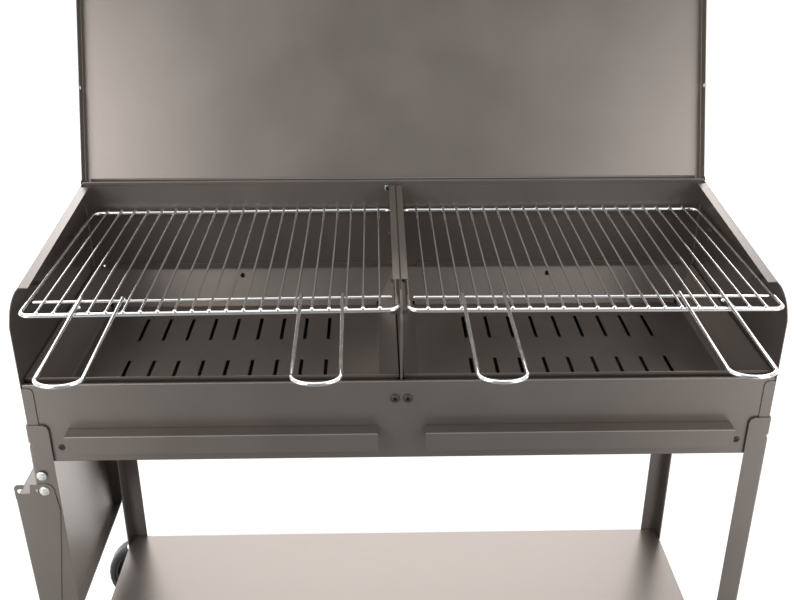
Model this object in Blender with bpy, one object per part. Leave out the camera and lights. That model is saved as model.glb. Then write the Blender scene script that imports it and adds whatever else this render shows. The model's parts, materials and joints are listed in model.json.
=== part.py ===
"""Charcoal barbecue: folded steel box on angle legs, two wire grids, hinged lid, folding side table."""
import math

import bmesh
import bpy
from mathutils import Matrix, Vector

# Sheets and gaps
T = 0.0012
TL = 0.0020
G = 0.0003
BEND = 0.0008

# Box
W = 1.000
D = 0.406
Z_LIP = 0.720
PANEL_H = 0.1185
LIP_IN = 0.010
FOOT_LIP = 0.012
SIDE_FRONT_Y = 0.050
SIDE_FRONT_Z = Z_LIP + 0.1165
SIDE_SLOPE = math.radians(4.82)
EAR_Z = Z_LIP + 0.0755
SIDE_FLANGE = 0.014
FRONT_STRIP = 0.015
FLANGE_END_Y = D - 0.013
EAR_BACK_Y = 0.008
EAR_BACK_Z = 0.0105
WALL_NOTCH_Z = 0.030
BACK_TOP = Z_LIP + 0.150
BACK_HEM = 0.0055
BACK_HOLE_X = -(W / 2 - 0.018)
BACK_HOLE_Z = Z_LIP + 0.007
BACK_HOLE_R = 0.0015
BACK_TAB = 0.017

# Divider
DIV_FLANGE = 0.010
DIV_FLANGE_Y = 0.068
DIV_BACK_Y = D - T - 0.002
DIV_TAB = 0.017
DIV_TAB_Z0 = Z_LIP - 0.036
DIV_FOOT_Z = Z_LIP - 0.056
SCREW_X = 0.0085
SCREW_Z = Z_LIP - 0.0247

# Grids and their supports
GRID_Z = Z_LIP + 0.103
GRID_Y0 = -0.005
GRID_Y1 = D - 0.007
GRID_IN = 0.0035
GRID_OUT = W / 2 - 0.010
FRAME_R = 0.003
CROSS_R = 0.0020
BAR_R = 0.0017
BARS = 21
BAR_PITCH = (GRID_OUT - GRID_IN - 2 * FRAME_R) / (BARS + 1)
CROSS_BACK = 0.040
CROSS_SHORT = 0.0075
CORNER_R = 0.013
HANDLE_R = 0.0025
HANDLE_OFFSET = 6.5 * BAR_PITCH
HANDLE_HALF = 1.25 * BAR_PITCH
HANDLE_OUT = 0.206
HANDLE_IN = 0.042
GRID_PLAY = {-1: (-0.0006, -0.0015), 1: (0.0026, -0.0015)}
GRID_TURN = {-1: math.radians(0.8), 1: 0.0}
TAB_YS = (0.108, D - 0.106)
TAB_DROP = 0.048
TAB_W = 0.012
TAB_WALL_X = 0.019
TAB_DIV_X = 0.013

# Fire pans
PAN_RIM_Z = Z_LIP + 0.004
PAN_RIM_H = 0.0045
PAN_BACK_Z = Z_LIP + 0.011
PAN_BACK_SHORT = 0.032
PAN_FLOOR_Z = Z_LIP - 0.056
PAN_Y0 = 0.0125
PAN_Y1 = D - 0.0025
PAN_HOLE_DROP = 0.013
PAN_PATTERN = 0.0035
PAN_FLARE = 0.026
SLOT_W = 0.0052
SLOT_L = 0.080
SLOT_PITCH = 0.03655
SLOTS = 9
SLOT_ROWS = (0.097, D - 0.160)
RELIEF_R = 0.0028
PAN_HOLE_R = 0.0038

# Ash drawers
PULL_X0 = 0.032
PULL_X1 = W / 2 - 0.053
PULL_TOP = Z_LIP - 0.0665
PULL_OUT = 0.0233
PULL_H = 0.0275
SLOT_IN = 0.004
TRAY_H = 0.0195
TRAY_D = D - 0.016
TRAY_FRONT = -0.006
RUNNER_W = 0.012
RUNNER_H = 0.018
RUNNER_TAB_Z0 = Z_LIP - 0.109
MIDDLE_RUNNER_H = 0.010
RUNNER_Z = PULL_TOP - 0.0250
HOLE_X = W / 2 - 0.0405
HOLE_Z = Z_LIP - 0.0955
HOLE_R = 0.004

# Legs and shelf
LEG = 0.030
LEG_TOP = Z_LIP - 0.060
LEG_BITE_Z = Z_LIP - 0.0905
LEG_BITE_R = 0.0045
LEG_CORNER = 0.008
RIGHT_LEG_Z = 0.004
SHELF_Z = 0.177
SHELF_H = 0.022
FOOT_H = 0.026

# Wheels
WHEEL_R = 0.075
TYRE_T = 0.010
WHEEL_W = 0.033
AXLE_R = 0.005
AXLE_X = -(W / 2 - 0.0165)
LEFT_LEG_Z = 0.045

# Lid
HINGE_Y = D + 0.006
HINGE_Z = Z_LIP + 0.137
LID_LEAN = math.radians(23.0)
LID_CLEAR = 0.0012
LID_OFF = 0.016
LID_FRONT = 0.004
LID_EAR = 0.009
LID_S0 = 0.006
LID_S1 = 0.4175
LID_HOLE_S = 0.160
LID_HOLE_IN = 0.0065
LID_HOLE_R = 0.0035
LID_HEM = 0.006
LID_CORNER = 0.006
LID_GRIP_HALF = 0.080
LID_GRIP_RISE = 0.034
LID_GRIP_BEND = 0.010
LID_GRIP_IN = 0.050
LID_GRIP_R = 0.004
EAR_R = 0.0125
STOP_S = 0.012
STOP_W = 0.009
STOP_LAP = 0.004

# Side table, in its own frame with the pivot at the origin
PIV_X = -(W / 2 - 0.0085)
PIV_Z = Z_LIP - 0.1625
LATCH_R = 0.025
TABLE_TILT = math.radians(1.2)
TABLE_X = -0.0415
TABLE_TOP = 0.0105
TABLE_RIGHT = 0.013
SKIN_TOP = -0.0125
TABLE_BOT = -0.305
TABLE_LIP = 0.0145
SLOT_TRAVEL = 0.0095
BOLT_R = 0.003

LEG_FACE = -(2 * G + T + TL)
REAR_FACE = D + G + TL
WALL_IN = W / 2 - T
PLATE_Y0 = LEG_FACE - G - T
PLATE_Y1 = REAR_FACE + G + T
LEG_BOLT_Y = (LEG_FACE + 0.020, REAR_FACE - 0.020)
BOX_BOLT_Z = Z_LIP - 0.102
SHELF_BOLT_Z = SHELF_Z - 0.012


def material(name, rgb, metallic, roughness):
    mat = bpy.data.materials.new(name)
    mat.use_nodes = True
    bsdf = mat.node_tree.nodes["Principled BSDF"]
    bsdf.inputs["Base Color"].default_value = (*rgb, 1.0)
    bsdf.inputs["Metallic"].default_value = metallic
    bsdf.inputs["Roughness"].default_value = roughness
    return mat


def place(obj, mat, parent=None):
    """Link an object into the barbecue's collection, under the root or another parent."""
    BBQ.objects.link(obj)
    obj.parent = parent or ROOT
    obj.data.materials.clear()
    obj.data.materials.append(mat)
    return obj


def mesh_object(name, bm):
    bmesh.ops.recalc_face_normals(bm, faces=bm.faces)
    mesh = bpy.data.meshes.new(name)
    bm.to_mesh(mesh)
    bm.free()
    return bpy.data.objects.new(name, mesh)


def prism(name, outline, axis, a, b):
    """Straight prism over a 2D outline, run along X, Y or Z from a to b."""
    order = {"X": lambda u, v, w: (w, u, v), "Y": lambda u, v, w: (u, w, v), "Z": lambda u, v, w: (u, v, w)}[axis]
    bm = bmesh.new()
    low = [bm.verts.new(order(u, v, a)) for u, v in outline]
    high = [bm.verts.new(order(u, v, b)) for u, v in outline]
    bm.faces.new(low)
    bm.faces.new(high)
    for i in range(len(outline)):
        j = (i + 1) % len(outline)
        bm.faces.new((low[i], low[j], high[j], high[i]))
    return mesh_object(name, bm)


def folded(points, corners, steps=3):
    """Outline with the corners named in {index: radius} turned into arcs, as a press brake leaves them."""
    out = []
    for i, point in enumerate(points):
        radius = corners.get(i)
        if radius is None:
            out.append(point)
            continue
        p = Vector(point)
        u = (Vector(points[i - 1]) - p).normalized()
        v = (Vector(points[(i + 1) % len(points)]) - p).normalized()
        half = u.angle(v) / 2
        centre = p + (u + v).normalized() * radius / math.sin(half)
        start = p + u * radius / math.tan(half) - centre
        sweep = math.pi - 2 * half
        turn = math.copysign(sweep, start.x * (v - u).y - start.y * (v - u).x)
        for k in range(steps + 1):
            q = centre + Matrix.Rotation(turn * k / steps, 2) @ start
            out.append((q.x, q.y))
    return out


def box(name, x0, x1, y0, y1, z0, z1):
    return prism(name, [(x0, y0), (x1, y0), (x1, y1), (x0, y1)], "Z", z0, z1)


def cylinder(name, radius, a, b, centre, axis, sides=16):
    """Cylinder along an axis from a to b, its centre given in the other two coordinates."""
    ring = [(centre[0] + radius * math.cos(2 * math.pi * (i + 0.5) / sides),
             centre[1] + radius * math.sin(2 * math.pi * (i + 0.5) / sides)) for i in range(sides)]
    return prism(name, ring, axis, a, b)


def turned(name, profile, axis, centre, sides=16, about=0.0):
    """Solid of revolution from (radius, position) pairs; axis is X or Y."""
    bm = bmesh.new()
    rings = []
    for radius, along in profile:
        ring = []
        for i in range(sides):
            t = 2 * math.pi * i / sides + about
            u, v = centre[0] + radius * math.cos(t), centre[1] + radius * math.sin(t)
            ring.append(bm.verts.new((along, u, v) if axis == "X" else (u, along, v)))
        rings.append(ring)
    for p, q in zip(rings, rings[1:]):
        for i in range(sides):
            j = (i + 1) % sides
            bm.faces.new((p[i], p[j], q[j], q[i]))
    bm.faces.new(rings[0])
    bm.faces.new(rings[-1])
    return mesh_object(name, bm)


def combine(base, others, operation):
    """Exact Boolean of a base with several tool objects, baked into the base's mesh."""
    tools = bpy.data.collections.new("tools")
    bpy.context.scene.collection.children.link(tools)
    bpy.context.scene.collection.objects.link(base)
    for obj in others:
        tools.objects.link(obj)
    mod = base.modifiers.new("combine", "BOOLEAN")
    mod.operation = operation
    mod.solver = "EXACT"
    mod.operand_type = "COLLECTION"
    mod.collection = tools
    baked = bpy.data.meshes.new_from_object(base.evaluated_get(bpy.context.evaluated_depsgraph_get()))
    baked.name = base.name
    base.modifiers.clear()
    base.data = baked
    bpy.context.scene.collection.objects.unlink(base)
    for obj in others:
        bpy.data.objects.remove(obj)
    bpy.data.collections.remove(tools)
    return base


def union(base, others):
    return combine(base, others, "UNION")


def cut(base, others):
    return combine(base, others, "DIFFERENCE")


def top_line(y):
    """Height of the side walls' sloping top edge."""
    return SIDE_FRONT_Z + (y - SIDE_FRONT_Y) * math.tan(SIDE_SLOPE)


def arc(cy, cz, ry, rz, a0, a1, steps):
    return [(cy + ry * math.cos(math.radians(a0 + (a1 - a0) * i / steps)),
             cz + rz * math.sin(math.radians(a0 + (a1 - a0) * i / steps))) for i in range(steps + 1)]


def lid_point(s, off):
    """Point of the open lid: s along it from the hinge, off behind the hinge line."""
    along = Vector((math.sin(LID_LEAN), math.cos(LID_LEAN)))
    behind = Vector((math.cos(LID_LEAN), -math.sin(LID_LEAN)))
    p = Vector((HINGE_Y, HINGE_Z)) + along * s + behind * off
    return (p.x, p.y)


def mirror_x(obj, side):
    if side < 0:
        obj.data.transform(Matrix.Scale(-1, 4, (1, 0, 0)))
        obj.data.flip_normals()
    return obj


def grid_tabs(x0, x1):
    """Punched supports under the grid at two heights and two depths."""
    return [box("tab", x0, x1, y - TAB_W / 2, y + TAB_W / 2, GRID_Z - FRAME_R - G - T - drop, GRID_Z - FRAME_R - G - drop)
            for y in TAB_YS for drop in (0.0, TAB_DROP)]


def side_wall(side, name):
    """Folded end wall with curved ear, rear hinge ear, top flange, front strip and grid supports."""
    outline = [(-G - T, Z_LIP - PANEL_H), (-G - T, Z_LIP - 0.004), (-G - T, EAR_Z)]
    outline += arc(SIDE_FRONT_Y, EAR_Z, SIDE_FRONT_Y + G + T, SIDE_FRONT_Z - EAR_Z, 172, 90, 8)
    outline += [(FLANGE_END_Y, top_line(FLANGE_END_Y)), (HINGE_Y - EAR_BACK_Y, HINGE_Z + EAR_BACK_Z)]
    outline += [(HINGE_Y + EAR_R * math.cos(math.radians(k)), HINGE_Z + EAR_R * math.sin(math.radians(k))) for k in (75, 45, 15)]
    outline += [lid_point(0.0, LID_OFF - G), lid_point(-STOP_S, LID_OFF - G), (D - G, HINGE_Z - WALL_NOTCH_Z), (D - G, Z_LIP - PANEL_H)]
    wall = prism(name, outline, "X", WALL_IN, W / 2)
    z0 = top_line(SIDE_FRONT_Y)
    z1 = top_line(FLANGE_END_Y)
    flange = prism("flange", [(SIDE_FRONT_Y, z0 - T), (FLANGE_END_Y, z1 - T), (FLANGE_END_Y, z1), (SIDE_FRONT_Y, z0)],
                   "X", W / 2 - SIDE_FLANGE, WALL_IN + T / 2)
    low = Z_LIP - PANEL_H
    high = Z_LIP - 0.005
    strip = [(WALL_IN + T / 2, low), (W / 2 - FRONT_STRIP, low), (W / 2 - FRONT_STRIP, high - 0.006)]
    strip += [(W / 2 - FRONT_STRIP + 0.0018, high - 0.0018), (W / 2 - FRONT_STRIP + 0.006, high), (WALL_IN + T / 2, high)]
    front = prism("strip", strip, "Y", -G - T, -G)
    tab = box("tab", WALL_IN - BACK_TAB, WALL_IN + T / 2, D - 2 * T - G, D - T - G, HINGE_Z - WALL_NOTCH_Z, BACK_TOP - BACK_HEM - G)
    wall = union(wall, [flange, front, tab] + grid_tabs(W / 2 - TAB_WALL_X, WALL_IN + T / 2))
    holes = [cylinder("hole", BOLT_R + G, WALL_IN - 0.01, W / 2 + 0.01, (HINGE_Y, HINGE_Z), "X", 12)]
    holes += [cylinder("hole", BOLT_R + G, WALL_IN - 0.01, W / 2 + 0.01, (y, BOX_BOLT_Z), "X", 12) for y in LEG_BOLT_Y]
    return mirror_x(cut(wall, holes), side)


def channel(name, y_out, direction, top, bottom, top_in, low_in, x_half):
    """Sheet wall along X with a flange turned in at its top and at its foot."""
    d = direction
    pts = [(y_out, bottom), (y_out, top), (y_out + d * top_in, top), (y_out + d * top_in, top - T),
           (y_out + d * T, top - T), (y_out + d * T, bottom + T), (y_out + d * low_in, bottom + T), (y_out + d * low_in, bottom)]
    return prism(name, folded(pts, {0: BEND + T, 1: BEND + T, 4: BEND, 5: BEND}), "X", -x_half, x_half)


def front_panel():
    panel = channel("front_panel", 0.0, 1, Z_LIP, Z_LIP - PANEL_H, LIP_IN, FOOT_LIP, WALL_IN - G)
    tools = []
    for side in (-1, 1):
        a, b = sorted((side * (PULL_X0 + SLOT_IN), side * (PULL_X1 - SLOT_IN)))
        tools.append(box("slot", a, b, -0.01, 0.006, PULL_TOP - PULL_H + 0.002, PULL_TOP - 0.002))
        tools.append(cylinder("hole", HOLE_R, -0.01, 0.006, (side * HOLE_X, HOLE_Z), "Y", 16))
        tools.append(cylinder("hole", BOLT_R - 0.0005 + G, -0.01, 0.006, (side * SCREW_X, SCREW_Z), "Y", 12))
    return cut(panel, tools)


def back_wall():
    """Back sheet with a hem along its top, a flange at its foot and one hole near the left end."""
    low = Z_LIP - PANEL_H
    pts = [(D, low), (D, BACK_TOP), (D - 2 * T, BACK_TOP), (D - 2 * T, BACK_TOP - BACK_HEM), (D - T, BACK_TOP - BACK_HEM),
           (D - T, low + T), (D - FOOT_LIP, low + T), (D - FOOT_LIP, low)]
    wall = prism("back_wall", folded(pts, {0: BEND + T, 1: BEND, 2: BEND, 3: BEND / 2, 5: BEND}), "X", -(WALL_IN - G), WALL_IN - G)
    return cut(wall, [cylinder("hole", BACK_HOLE_R, D - 0.01, D + 0.01, (BACK_HOLE_X, BACK_HOLE_Z), "Y", 12)])


def divider(side, name):
    """One of the two back-to-back middle sheets, with top flange, front tab and grid supports."""
    x0, x1 = G / 2, G / 2 + T
    y0 = T + G
    outline = [(y0 + LIP_IN, DIV_FOOT_Z), (y0 + LIP_IN, DIV_TAB_Z0), (y0, DIV_TAB_Z0), (y0, Z_LIP - T - G),
               (y0 + LIP_IN, Z_LIP - T - G), (y0 + LIP_IN, Z_LIP + 0.002), (y0, Z_LIP + 0.004), (y0, EAR_Z)]
    outline += arc(SIDE_FRONT_Y, EAR_Z, SIDE_FRONT_Y - y0, SIDE_FRONT_Z - EAR_Z, 172, 90, 8)
    outline += [(y, top_line(y)) for y in (DIV_FLANGE_Y, FLANGE_END_Y, DIV_BACK_Y)] + [(DIV_BACK_Y, DIV_FOOT_Z)]
    sheet = prism(name, outline, "X", x0, x1)
    z0, z1 = top_line(DIV_FLANGE_Y), top_line(FLANGE_END_Y)
    flange = prism("flange", [(DIV_FLANGE_Y, z0 - T), (FLANGE_END_Y, z1 - T), (FLANGE_END_Y, z1), (DIV_FLANGE_Y, z0)],
                   "X", x0 + T / 2, x0 + DIV_FLANGE)
    tab = box("tab", x0 + T / 2, x0 + DIV_TAB, y0, y0 + T, DIV_TAB_Z0 + 0.001, Z_LIP - 0.003)
    sheet = union(sheet, [flange, tab] + grid_tabs(x0 + T / 2, x0 + TAB_DIV_X))
    hole = cylinder("hole", BOLT_R - 0.0005 + G, -0.01, 0.02, (SCREW_X, SCREW_Z), "Y", 12)
    return mirror_x(cut(sheet, [hole]), side)


def fire_pan(side, name):
    """Flared charcoal pan with an upright rim, a higher one at the back, two rows of slots and corner reliefs."""
    x0, x1 = G / 2 + T + G + 0.0015, WALL_IN - G - 0.001
    t, f = T, PAN_FLARE
    rim = [(x0, PAN_Y0), (x1, PAN_Y0), (x1, PAN_Y1 - 0.0005), (x0, PAN_Y1 - 0.0005)]
    low = [(x0 + f, PAN_Y0 + f), (x1 - f, PAN_Y0 + f), (x1 - f, PAN_Y1 - f), (x0 + f, PAN_Y1 - f)]
    sign = [(1, 1), (-1, 1), (-1, -1), (1, -1)]
    bm = bmesh.new()
    rings = []
    fold = PAN_RIM_Z - PAN_RIM_H
    for ring, z, inset in ((low, PAN_FLOOR_Z, 0.0), (rim, fold, 0.0), (rim, PAN_RIM_Z, 0.0), (rim, PAN_RIM_Z, t), (rim, fold + t / 2, t),
                           (low, PAN_FLOOR_Z + t, t)):
        rings.append([bm.verts.new((x + sx * inset, y + sy * inset, z)) for (x, y), (sx, sy) in zip(ring, sign)])
    for p, q in zip(rings, rings[1:]):
        for i in range(4):
            j = (i + 1) % 4
            bm.faces.new((p[i], p[j], q[j], q[i]))
    bm.faces.new(rings[0])
    bm.faces.new(rings[-1])
    back = PAN_Y1 - 0.0005
    strip = box("strip", x0 + PAN_BACK_SHORT, x1 - PAN_BACK_SHORT, back - t, back, fold + t, PAN_BACK_Z)
    pan = union(mesh_object(name, bm), [strip])
    mid = (x0 + x1) / 2 + PAN_PATTERN
    tools = [box("slot", mid + (i - (SLOTS - 1) / 2) * SLOT_PITCH - SLOT_W / 2, mid + (i - (SLOTS - 1) / 2) * SLOT_PITCH + SLOT_W / 2,
                 y, y + SLOT_L, PAN_FLOOR_Z - 0.01, PAN_FLOOR_Z + 0.01) for i in range(SLOTS) for y in SLOT_ROWS]
    tools += [cylinder("relief", RELIEF_R, PAN_FLOOR_Z - 0.01, PAN_FLOOR_Z + 0.006, (x, y), "Z", 10) for x, y in low]
    tools.append(cylinder("hole", PAN_HOLE_R, PAN_Y1 - 0.02, PAN_Y1 + 0.01, (mid, PAN_RIM_Z - PAN_HOLE_DROP), "Y", 12))
    return mirror_x(cut(pan, tools), side)


def pan_support(name, y_wall, direction):
    """Angle ledge along the box that carries the floor edges of both pans."""
    top = PAN_FLOOR_Z - G
    reach = 0.062 if direction > 0 else 0.046
    a = y_wall + direction * G
    b = y_wall + direction * (G + T)
    c = y_wall + direction * reach
    pts = [(a, top - T - 0.006), (b, top - T - 0.006), (b, top - T), (c, top - T), (c, top), (a, top)]
    return prism(name, pts, "X", -(WALL_IN - G), WALL_IN - G)


def side_runner(side, name):
    """Ledge on the end wall that one edge of an ash drawer slides on."""
    z = RUNNER_Z
    x0, x1 = PULL_X1 - SLOT_IN - RUNNER_W, WALL_IN - G
    pts = [(x0, z - T), (x1, z - T), (x1, z + RUNNER_H), (x1 - T, z + RUNNER_H), (x1 - T, z), (x0, z)]
    runner = prism(name, folded(pts, {1: BEND + T, 4: BEND}), "Y", T + G, D - T - G)
    tab = box("tab", x1 - 0.048, x1 - T / 2, T + G, 2 * T + G, RUNNER_TAB_Z0, z - T / 2)
    return mirror_x(union(runner, [tab]), side)


def middle_runner():
    """Channel between the two ash drawers."""
    z, half, inner = RUNNER_Z, PULL_X0 + SLOT_IN + RUNNER_W, PULL_X0 + SLOT_IN - 0.003
    rib = z + MIDDLE_RUNNER_H
    pts = [(-half, z - T), (half, z - T), (half, z), (inner, z), (inner, rib), (inner - T, rib), (inner - T, z),
           (-inner + T, z), (-inner + T, rib), (-inner, rib), (-inner, z), (-half, z)]
    return prism("middle_runner", pts, "Y", T + G, D - T - G)


def ash_tray(side, name):
    """Shallow sliding tray under one fire pan."""
    x0, x1 = PULL_X0 + SLOT_IN + 0.0012, PULL_X1 - SLOT_IN - 0.0012
    z0 = RUNNER_Z + G
    y0 = TRAY_FRONT
    tray = box(name, x0, x1, y0, TRAY_D, z0, z0 + TRAY_H)
    hollow = box("hollow", x0 + T, x1 - T, y0 + T, TRAY_D - T, z0 + T, z0 + TRAY_H + 0.01)
    return mirror_x(cut(tray, [hollow]), side)


def drawer_pull(side, name):
    """Inverted angle across the front of an ash drawer."""
    top = PULL_TOP
    back = TRAY_FRONT - G
    pts = [(back, top - 0.020), (back, top), (-PULL_OUT, top), (-PULL_OUT, top - PULL_H), (-PULL_OUT + T, top - PULL_H),
           (-PULL_OUT + T, top - T), (back - T, top - T), (back - T, top - 0.020)]
    main = prism(name, folded(pts, {2: BEND + T, 5: BEND}), "X", PULL_X0, PULL_X1)
    ledge = box("ledge", PULL_X0, PULL_X1, back - T / 2, -2 * G, top - T, top)
    return mirror_x(union(main, [ledge]), side)


def leg(side, end, name):
    """Angle-iron leg; end is -1 at the front and 1 at the back."""
    low = LEFT_LEG_Z if side < 0 else RIGHT_LEG_Z
    xi, xo = W / 2 + G, W / 2 + G + TL
    if end < 0:
        yi, yo, sgn = LEG_FACE + TL, LEG_FACE, 1
    else:
        yi, yo, sgn = REAR_FACE - TL, REAR_FACE, -1
    a, b = sorted((yi, yo))
    inner = yo + sgn * LEG
    section = [(xo, yo), (xo - LEG, yo), (xo - LEG, yi), (xi, yi), (xi, inner), (xo, inner)]
    obj = prism(name, folded(section, {0: BEND + TL, 3: BEND}), "Z", low, LEG_TOP)
    tools = []
    bite = Matrix.Translation((xo, yo, LEG_BITE_Z)) @ Matrix.Rotation(math.radians(45 * sgn), 4, "Z")
    drill = cylinder("bite", LEG_BITE_R, -0.012, 0.012, (0, 0), "X", 14)
    drill.data.transform(bite)
    tools.append(drill)
    y_bolt = LEG_BOLT_Y[0] if end < 0 else LEG_BOLT_Y[1]
    tools += [cylinder("hole", BOLT_R + G, xi - 0.01, xo + 0.01, (y_bolt, z), "X", 12) for z in (BOX_BOLT_Z, SHELF_BOLT_Z)]
    if side < 0:
        tools.append(cylinder("hole", AXLE_R + G, a - 0.01, b + 0.01, (-AXLE_X, WHEEL_R), "Y", 16))
        for z in (PIV_Z, PIV_Z + LATCH_R):
            tools.append(cylinder("hole", BOLT_R + G, a - 0.01, b + 0.01, (-PIV_X, z), "Y", 12))
    r = LEG_CORNER
    ends = [(LEG_TOP - r, 0.0), (LEG_TOP - 0.3 * r, 0.3 * r), (LEG_TOP, r), (LEG_TOP + r, r), (LEG_TOP + r, -r), (LEG_TOP - r, -r)]
    face = [(xo - LEG + across, z) for z, across in ends]
    flank = [(inner - sgn * across, z) for z, across in ends]
    tools.append(prism("corner", face, "Y", a - 0.01, b + 0.01))
    tools.append(prism("corner", flank, "X", xi - 0.01, xo + 0.01))
    return mirror_x(cut(obj, tools), side)


def soften_top(obj, z, radius):
    """Round the edges around a box's top face."""
    bm = bmesh.new()
    bm.from_mesh(obj.data)
    edges = [e for e in bm.edges if all(abs(v.co.z - z) < 1e-6 for v in e.verts)]
    bmesh.ops.bevel(bm, geom=edges, offset=radius, segments=3, profile=0.5, affect="EDGES")
    bm.to_mesh(obj.data)
    bm.free()


def shelf():
    """Lower shelf: one sheet with its four edges folded down."""
    x = W / 2 - 0.0002
    y0, y1 = LEG_FACE + TL + G, D
    outer = box("shelf", -x, x, y0, y1, SHELF_Z - SHELF_H, SHELF_Z)
    soften_top(outer, SHELF_Z, BEND + T)
    hollow = box("hollow", -x + T, x - T, y0 + T, y1 - T, SHELF_Z - SHELF_H - 0.01, SHELF_Z - T)
    tools = [hollow]
    for side in (-1, 1):
        a, b = sorted((side * (x - 0.01), side * (x + 0.01)))
        tools += [cylinder("hole", BOLT_R + G, a, b, (y, SHELF_BOLT_Z), "X", 12) for y in LEG_BOLT_Y]
    return cut(outer, tools)


def foot(end, name):
    """Plastic boot on the end of a right-hand leg."""
    xo = W / 2 + G + TL
    yo, s = (LEG_FACE, 1) if end < 0 else (REAR_FACE, -1)
    m = 0.0025
    outer = [(xo + m, yo - s * m), (xo - LEG - m, yo - s * m), (xo - LEG - m, yo + s * (TL + m)),
             (xo - TL - m, yo + s * (TL + m)), (xo - TL - m, yo + s * (LEG + m)), (xo + m, yo + s * (LEG + m))]
    c = G
    inner = [(xo + c, yo - s * c), (xo - LEG - c, yo - s * c), (xo - LEG - c, yo + s * (TL + c)),
             (xo - TL - c, yo + s * (TL + c)), (xo - TL - c, yo + s * (LEG + c)), (xo + c, yo + s * (LEG + c))]
    return cut(prism(name, outer, "Z", 0.0, FOOT_H), [prism("pocket", inner, "Z", RIGHT_LEG_Z - G, FOOT_H + 0.01)])


def bolt_along(name, axis, centre, seat, direction, grip, head_r=0.0058, head_h=0.0042, nut_h=0.0045, radius=BOLT_R):
    """Hex bolt with washer under its head and a nut past its grip; seat is the head's contact plane."""
    d = direction
    hexa = turned(name, [(head_r, seat + d * 0.001), (head_r, seat + d * (head_h - 0.0006)), (head_r * 0.86, seat + d * head_h)],
                  axis, centre, 6)
    washer = cylinder("washer", head_r * 1.2, *sorted((seat + d * G, seat + d * 0.0014)), centre, axis, 16)
    shank = cylinder("shank", radius, *sorted((seat - d * (grip + nut_h + 0.003), seat + d * 0.002)), centre, axis, 12)
    nut = turned("nut", [(head_r, seat - d * (grip + G)), (head_r, seat - d * (grip + nut_h))], axis, centre, 6, 0.3)
    return union(hexa, [washer, shank, nut])


def front_screw(side, name):
    """Dome-head socket screw with a washer."""
    c = (side * SCREW_X, SCREW_Z)
    dome = turned(name, [(0.0063, -G), (0.0063, -G - 0.0010), (0.0050, -G - 0.0012), (0.0047, -G - 0.0026),
                         (0.0032, -G - 0.0042)], "Y", c, 16)
    socket = turned("socket", [(0.0017, -0.010), (0.0017, -G - 0.0022)], "Y", c, 6)
    shank = cylinder("shank", BOLT_R - 0.0005, -G - 0.0008, 0.012, c, "Y", 12)
    nut = turned("nut", [(0.0046, 2 * T + 2 * G + 0.0001), (0.0046, 2 * T + 2 * G + 0.004)], "Y", c, 6)
    return cut(union(dome, [shank, nut]), [socket])


def tube_curve(name, points, radius, cyclic=False, resolution=2):
    """Round wire along straight runs and arcs, turned into one closed mesh."""
    curve = bpy.data.curves.new(name, "CURVE")
    curve.dimensions = "3D"
    curve.bevel_depth = radius
    curve.bevel_resolution = resolution
    curve.use_fill_caps = True
    spline = curve.splines.new("POLY")
    spline.points.add(len(points) - 1)
    for p, co in zip(spline.points, points):
        p.co = (*co, 1.0)
    spline.use_cyclic_u = cyclic
    wire = bpy.data.objects.new(name, curve)
    bpy.context.scene.collection.objects.link(wire)
    mesh = bpy.data.meshes.new_from_object(wire.evaluated_get(bpy.context.evaluated_depsgraph_get()))
    bpy.data.objects.remove(wire)
    bm = bmesh.new()
    bm.from_mesh(mesh)
    bmesh.ops.remove_doubles(bm, verts=bm.verts, dist=1e-6)
    return mesh_object(name, bm)


def grid(side, name):
    """Wire grid: bent frame, second cross wire below the bars, bars welded on top."""
    x0, x1 = GRID_IN + FRAME_R, GRID_OUT - FRAME_R
    y0, y1 = GRID_Y0 + FRAME_R, GRID_Y1 - FRAME_R
    r = CORNER_R
    path = []
    for cx, cy, a in ((x1 - r, y1 - r, 0), (x0 + r, y1 - r, 90), (x0 + r, y0 + r, 180), (x1 - r, y0 + r, 270)):
        path += [(cx + r * math.cos(math.radians(a + 22.5 * k)), cy + r * math.sin(math.radians(a + 22.5 * k)), GRID_Z) for k in range(5)]
    frame = tube_curve(name, path, FRAME_R, True)
    mid = (GRID_IN + GRID_OUT) / 2
    z_bar = GRID_Z + FRAME_R + BAR_R - 0.0005
    bars = [cylinder("bar", BAR_R, y0 - 0.002, y1 + 0.004, (mid + (i - (BARS - 1) / 2) * BAR_PITCH, z_bar), "Y", 8) for i in range(BARS)]
    cross = cylinder("cross", CROSS_R, x0 + CROSS_SHORT, x1 - CROSS_SHORT, (y0 + CROSS_BACK, GRID_Z + FRAME_R - CROSS_R), "X", 8)
    return mirror_x(union(frame, bars + [cross]), side)


def grid_handle(side, offset, name):
    """U-shaped rod handle lying on the front wires of a grid."""
    mid = side * (GRID_IN + GRID_OUT) / 2 + offset
    z = GRID_Z + FRAME_R + HANDLE_R + G
    y_end = GRID_Y0 + FRAME_R + HANDLE_IN
    y_turn = GRID_Y0 + FRAME_R - HANDLE_OUT + HANDLE_HALF * 0.75
    h = HANDLE_HALF
    pts = [(mid - h, y_end, z), (mid - h, y_turn, z)]
    pts += [(mid - h * math.cos(math.radians(a)), y_turn - 0.75 * h * math.sin(math.radians(a)), z) for a in range(18, 180, 18)]
    pts += [(mid + h, y_turn, z), (mid + h, y_end, z)]
    return tube_curve(name, pts, HANDLE_R)


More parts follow.
